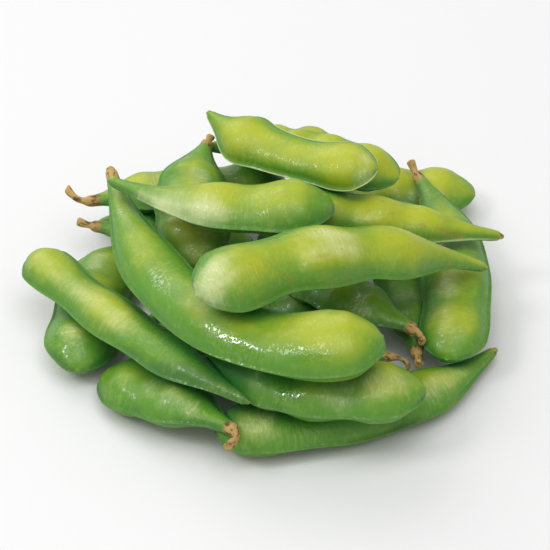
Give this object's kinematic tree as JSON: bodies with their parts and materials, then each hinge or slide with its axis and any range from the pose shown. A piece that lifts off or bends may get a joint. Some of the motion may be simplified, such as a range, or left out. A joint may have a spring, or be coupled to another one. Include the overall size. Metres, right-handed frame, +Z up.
{
  "type": "edamame pod bundle",
  "caption": "Loose heaped bundle of whole boiled edamame pods: slim, gently curved and pointed, swollen over each bean, some with a short dry stalk.",
  "frame": {"origin": "on the surface that the heap lies on, under the middle of the heap", "axes": "+X to the right along the heap's longest side, +Y to its back, +Z up"},
  "size_m": [0.0972, 0.0898, 0.0368],
  "materials": {
    "pod_skin": "moist boiled pod skin: yellow-green over the beans, deeper green between them and along the seams, faintly fuzzy, with a soft wet sheen, and brown where the stalk is dry"
  },
  "bodies": {
    "root": {"pod_front_right": "pod_skin", "pod_left": "pod_skin", "pod_back_left": "pod_skin", "pod_front_left": "pod_skin", "pod_under_right": "pod_skin", "pod_back_right": "pod_skin", "pod_right": "pod_skin", "pod_under_middle": "pod_skin", "pod_under_centre": "pod_skin", "pod_back": "pod_skin", "pod_inner_back": "pod_skin", "pod_centre_low": "pod_skin", "pod_left_long": "pod_skin", "pod_back_left_high": "pod_skin", "pod_over_right": "pod_skin", "pod_inner_cross": "pod_skin", "pod_back_over": "pod_skin", "pod_behind_left": "pod_skin", "pod_centre_long": "pod_skin", "pod_thin_right": "pod_skin", "pod_back_top": "pod_skin", "pod_middle_right": "pod_skin", "pod_top": "pod_skin", "pod_upper_left": "pod_skin"}
  },
  "joints": []
}
